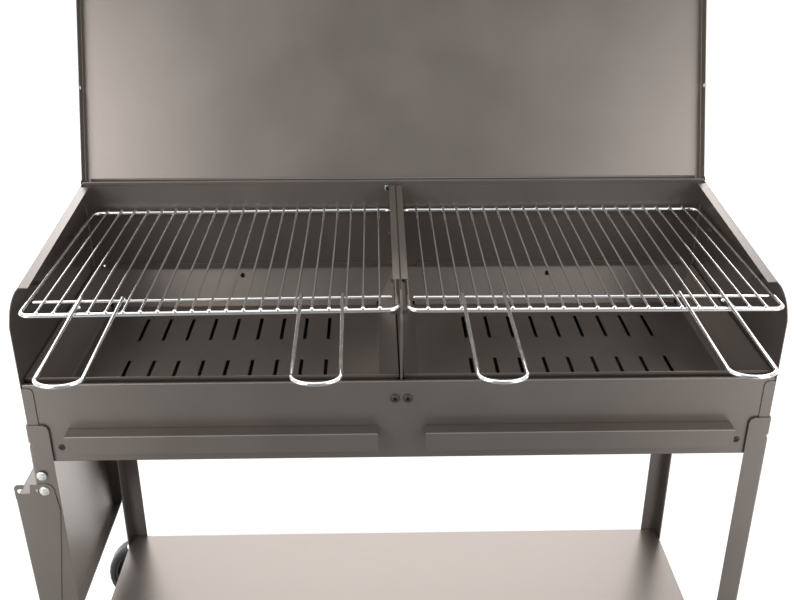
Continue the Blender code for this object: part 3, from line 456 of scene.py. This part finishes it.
def wires():
    """Both grids and their handles, as they lie in the photograph."""
    wire_grid("grid_left", x0=-0.4830, x1=-0.0049, middle=-0.2437, y0=-0.0045, y1=0.3922, lean=0.018)
    wire_grid("grid_right", x0=0.0091, x1=0.4905, middle=0.2495, y0=-0.0048, y1=0.3930, lean=-0.010)
    front = -0.0040
    wire_handle("grid_left_handle_left", "grid_left", (-0.4135, -0.3600, 0.0330), (-0.4080, -0.3560, -0.1905),
                [(-0.4135, front), (-0.3600, front), (-0.4110, 0.0090), (-0.4128, 0.0300), (-0.3600, 0.0360)])
    wire_handle("grid_left_handle_right", "grid_left", (-0.1300, -0.0760, 0.0390), (-0.1273, -0.0727, -0.1895),
                [(-0.1300, front), (-0.0760, front), (-0.1300, 0.0360), (-0.0760, 0.0360)])
    wire_handle("grid_right_handle_left", "grid_right", (0.0800, 0.1345, 0.0380), (0.0801, 0.1347, -0.1890),
                [(0.0800, front), (0.1345, front), (0.0800, 0.0350), (0.1345, 0.0350)])
    wire_handle("grid_right_handle_right", "grid_right", (0.3650, 0.4200, 0.0370), (0.3612, 0.4147, -0.1835),
                [(0.3650, front), (0.4200, front), (0.4165, 0.0150), (0.4185, 0.0290), (0.3650, 0.0340)])


# Profile of a button head, in shares of its radius and height, and the taper and floor of its socket
DOME = ((1.0, 0.0), (1.0, 0.22), (0.95, 0.48), (0.82, 0.76), (0.66, 0.94), (0.56, 1.0))
SOCKET_TAPER = 0.93
SOCKET_FLOOR = 0.25
SCREW_SEGMENTS = 24
SIXTH = math.pi / 3


def dome_screw(name, at, radius, height, socket, slot, stands_for=None):
    """Button head with a hexagon socket, facing the front."""
    bm = bmesh.new()

    def ring(r, h, hexagon=False):
        verts = []
        for k in range(SCREW_SEGMENTS):
            turn = math.tau * k / SCREW_SEGMENTS
            reach = r
            if hexagon:
                reach = r * math.cos(SIXTH / 2) / math.cos((turn % SIXTH) - SIXTH / 2)
            offset = Vector((reach * math.cos(turn), -h, reach * math.sin(turn)))
            verts.append(bm.verts.new(ORIGIN + Vector(at) + offset))
        return verts

    rings = [ring(radius * r, height * h) for r, h in DOME]
    rings += [ring(socket, height, True), ring(socket * SOCKET_TAPER, height * SOCKET_FLOOR, True)]
    skin(bm, rings, SCREW_SEGMENTS)
    piece = piece_from(bm, name, slot, "cart")
    if stands_for:
        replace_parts(piece, stands_for)


def prism(bm, first, second):
    """Solid between two like polygons."""
    ends = [[bm.verts.new(ORIGIN + v) for v in polygon] for polygon in (first, second)]
    skin(bm, ends, len(first))


def screws():
    """Button heads too small for the part's solids, and the two that stand for its front screws. The black
    heads in the panel's holes are painted shade, the front heads' black is partly painted shadow, and the
    divider screw's washer, set off centre, is a painted glint.
    """
    for word, side in (("left", -1), ("right", 1)):
        # Front screw heads, black and wide enough to take in the dark ring round them: their black is partly
        # the screws' own and partly painted shadow
        dome_screw("front_screw_head_" + word, (side * 0.0085, 0.0, 0.6947), radius=0.0063, height=0.0036,
                   socket=0.0025, slot="black_plastic", stands_for="front_screw_" + word)
        # Black heads that fill the panel's holes: their black is painted shade in the holes
        dome_screw("panel_hole_painted_shade_" + word, (side * 0.4597, 0.0, 0.6243), radius=0.0047, height=0.0014,
                   socket=0.0019, slot="black_plastic")
    # Black head on a zinc washer set off to the left, so that only a bright crescent of zinc shows: a painted
    # glint
    dome_screw("divider_washer_painted_glint", (-0.0128, 0.4036, 0.8576), radius=0.0046, height=0.0005,
               socket=0.0010, slot="zinc_bolt")
    dome_screw("divider_screw", (-0.0117, 0.4031, 0.8576), radius=0.0042, height=0.0020,
               socket=0.0016, slot="black_plastic")


# Lower hem of the lid: its section along and out of the lid's skin, and the skin's distance from the hinge
HEM_SECTION = ((0.0070, 0.0001), (0.0120, 0.0004), (0.0122, 0.0020), (0.0146, 0.0004), (0.0148, 0.0022),
               (0.0173, 0.0005), (0.0175, 0.0001))
HEM_HALF = 0.4925
HINGE_AT = Vector((0.0, 0.412, 0.857))
LID_LEAN = math.radians(23.0)
SKIN_BELOW_HINGE = 0.016

# Welded seam in a rear corner: its outline on the right side, and its lower and upper end
SEAM_OUTLINE = ((0.49885, 0.40485), (0.4972, 0.40485), (0.4978, 0.4038), (0.49885, 0.4032))
SEAM_ENDS = (0.664, 0.8262)


def lid_lower_hem():
    """Thin rolled hem along the lid's lower edge."""
    bm = bmesh.new()
    up = Vector((0, math.sin(LID_LEAN), math.cos(LID_LEAN)))
    out = Vector((0, -math.cos(LID_LEAN), math.sin(LID_LEAN)))
    start = HINGE_AT - out * SKIN_BELOW_HINGE
    section = [start + up * t + out * o for t, o in HEM_SECTION]
    prism(bm, *[[point + Vector((x, 0, 0)) for point in section] for x in (-HEM_HALF, HEM_HALF)])
    piece_from(bm, "lid_lower_hem", "graphite_paint", "lid")


def corner_seams():
    """Seams that close the rear corners between the back sheet and the end walls."""
    for word, side in (("left", -1), ("right", 1)):
        bm = bmesh.new()
        prism(bm, *[[Vector((side * x, y, z)) for x, y in SEAM_OUTLINE] for z in SEAM_ENDS])
        piece_from(bm, "corner_seam_" + word, "graphite_paint", "cart")


wires()
screws()
lid_lower_hem()
corner_seams()


def camera():
    """The photograph's camera."""
    ahead = Vector((math.sin(YAW) * math.cos(PITCH), math.cos(YAW) * math.cos(PITCH), -math.sin(PITCH)))
    level = Vector((math.cos(YAW), -math.sin(YAW), 0.0))
    above = level.cross(ahead)
    right = math.cos(ROLL) * level + math.sin(ROLL) * above
    up = math.cos(ROLL) * above - math.sin(ROLL) * level
    data = bpy.data.cameras.new("camera")
    data.sensor_width = SENSOR_MM
    data.lens = FOCAL_PX * SENSOR_MM / IMAGE_W
    data.shift_y = (CENTRE_ROW - IMAGE_H / 2) / IMAGE_W
    data.clip_end = CLIP_END
    obj = bpy.data.objects.new("camera", data)
    obj.matrix_world = Matrix.Translation(CAMERA_AT) @ Matrix((right, up, -ahead)).transposed().to_4x4()
    bpy.context.scene.collection.objects.link(obj)
    bpy.context.scene.camera = obj


def feed(links, pairs):
    """Give each socket its number, or link its value to it."""
    for value, socket in pairs:
        if isinstance(value, float):
            socket.default_value = value
        else:
            links.new(value, socket)


def calculated(nodes, links, operation, a, b=0.0):
    """Result of a Math node on numbers or value sockets."""
    node = nodes.new("ShaderNodeMath")
    node.operation = operation
    feed(links, ((a, node.inputs[0]), (b, node.inputs[1])))
    return node.outputs[0]


def mixed(nodes, links, factor, a, b):
    """Mix of two numbers or value sockets by a factor socket."""
    node = nodes.new("ShaderNodeMix")
    links.new(factor, node.inputs[MIX_FACTOR])
    feed(links, zip((a, b), (node.inputs[socket] for socket in MIX_NUMBERS)))
    return node.outputs[MIX_NUMBER_OUT]


# Floor: its size and roughness, how pale it is to the eye, how much darker it is painted in a mirror, and the
# strength of the painted glow of its sweep behind in a mirror
FLOOR_SIZE = 30.0
FLOOR_ROUGHNESS = 0.9
FLOOR_PALE = 0.80
FLOOR_PAINTED_DARKER_IN_MIRROR = 0.25
FLOOR_PAINTED_SWEEP_GLOW = 2.4


def floor():
    """Pale floor that keeps the shadow, with painted light: it glows for the camera, more the farther behind it
    lies; in a mirror it is painted darker and glows as a painted bright sweep behind, painted pools of light at
    the sides and painted shade in the middle and behind the camera.
    """
    bpy.ops.mesh.primitive_plane_add(size=FLOOR_SIZE, location=(0, 0, 0))
    obj = bpy.context.object
    obj.name = "studio_floor"
    mat, nodes, links, shader = principled("studio_floor")
    shader.inputs["Roughness"].default_value = FLOOR_ROUGHNESS
    path = nodes.new("ShaderNodeLightPath")
    where = nodes.new("ShaderNodeTexCoord")
    split = nodes.new("ShaderNodeSeparateXYZ")
    links.new(where.outputs["Object"], split.inputs["Vector"])
    x, y = split.outputs["X"], split.outputs["Y"]
    # Painted light in a mirror: painted pools of light at both sides, painted shade in the middle and behind
    # the camera, and a painted bright sweep behind
    beside = ramp(nodes, links, calculated(nodes, links, "ABSOLUTE", x), (0.45, 1.0), (0.12, 0.75))
    front = calculated(nodes, links, "MULTIPLY", beside, ramp(nodes, links, y, (-2.3, -1.5), (0.35, 1.0)))
    behind = ramp(nodes, links, y, (0.25, 0.75), (0.0, 1.0))
    painted_mirror_light = mixed(nodes, links, behind, front, FLOOR_PAINTED_SWEEP_GLOW)
    # In a mirror the floor's colour is painted darker
    albedo_painted_darker_in_mirror = mixed(nodes, links, path.outputs["Is Glossy Ray"], FLOOR_PALE, FLOOR_PAINTED_DARKER_IN_MIRROR)
    grey = nodes.new("ShaderNodeCombineColor")
    for socket in grey.inputs:
        links.new(albedo_painted_darker_in_mirror, socket)
    links.new(grey.outputs[0], shader.inputs["Base Color"])
    # Painted glow for the camera, brighter the farther behind the floor lies
    far = ramp(nodes, links, y, (0.8, 2.5), (0.46, 1.0))
    painted_camera_glow = calculated(nodes, links, "MULTIPLY", path.outputs["Is Camera Ray"], far)
    painted_glossy_glow = calculated(nodes, links, "MULTIPLY", path.outputs["Is Glossy Ray"], painted_mirror_light)
    shader.inputs["Emission Color"].default_value = (1, 1, 1, 1)
    links.new(calculated(nodes, links, "ADD", painted_camera_glow, painted_glossy_glow), shader.inputs["Emission Strength"])
    obj.data.materials.append(mat)


# Surroundings: the soft light they give, and how bright they are in a mirror in front and overhead
AMBIENT = 0.22
WORLD_FRONT = 0.30
WORLD_OVERHEAD = 0.45
WHITE = 1.0


def world():
    """White surroundings behind, a dimmer studio in front, and soft grey light for everything else."""
    studio = bpy.data.worlds.new("studio")
    bpy.context.scene.world = studio
    studio.use_nodes = True
    nodes, links = studio.node_tree.nodes, studio.node_tree.links
    back = nodes["Background"]
    path = nodes.new("ShaderNodeLightPath")
    where = nodes.new("ShaderNodeTexCoord")
    split = nodes.new("ShaderNodeSeparateXYZ")
    links.new(where.outputs["Generated"], split.inputs["Vector"])
    level = ramp(nodes, links, split.outputs["Y"], (-0.9, 0.1), (WORLD_FRONT, WHITE))
    overhead = ramp(nodes, links, split.outputs["Z"], (0.60, 0.95), (0.0, WORLD_OVERHEAD))
    reflected = calculated(nodes, links, "ADD", level, overhead)
    bent = path.outputs["Is Transmission Ray"]
    mirror = calculated(nodes, links, "MAXIMUM", path.outputs["Is Glossy Ray"], bent)
    lighting = mixed(nodes, links, mirror, AMBIENT, reflected)
    seen = mixed(nodes, links, path.outputs["Is Camera Ray"], lighting, WHITE)
    links.new(seen, back.inputs["Strength"])
    back.inputs["Color"].default_value = (1, 1, 1, 1)


def lamp(name, where, target, size, radiance):
    """Soft box of a plain radiance, kept out of the camera's own view."""
    data = bpy.data.lights.new(name, "AREA")
    data.shape = "RECTANGLE"
    data.size, data.size_y = size
    data.energy = radiance * math.pi * size[0] * size[1]
    obj = bpy.data.objects.new(name, data)
    aim = (Vector(target) - Vector(where)).to_track_quat("-Z", "Y")
    obj.matrix_world = Matrix.Translation(where) @ aim.to_matrix().to_4x4()
    obj.visible_camera = False
    bpy.context.scene.collection.objects.link(obj)


camera()
floor()
world()
lamp("softbox_left", where=(-1.60, -1.6, 1.85), target=(-0.2, 0.4, 0.9), size=(1.3, 1.5), radiance=6.2)
lamp("softbox_right", where=(1.65, -1.6, 1.75), target=(0.2, 0.4, 0.9), size=(1.3, 1.4), radiance=4.3)
lamp("kicker_left", where=(-1.35, -1.15, 0.30), target=(-0.45, 0.0, 0.55), size=(0.8, 0.9), radiance=1.9)
lamp("kicker_right", where=(1.35, -1.15, 0.30), target=(0.45, 0.0, 0.55), size=(0.8, 0.9), radiance=1.7)
lamp("softbox_back", where=(0.0, 3.0, 2.3), target=(0.0, 0.2, 0.5), size=(3.6, 2.0), radiance=3.6)
bpy.context.scene.view_settings.view_transform = "Standard"
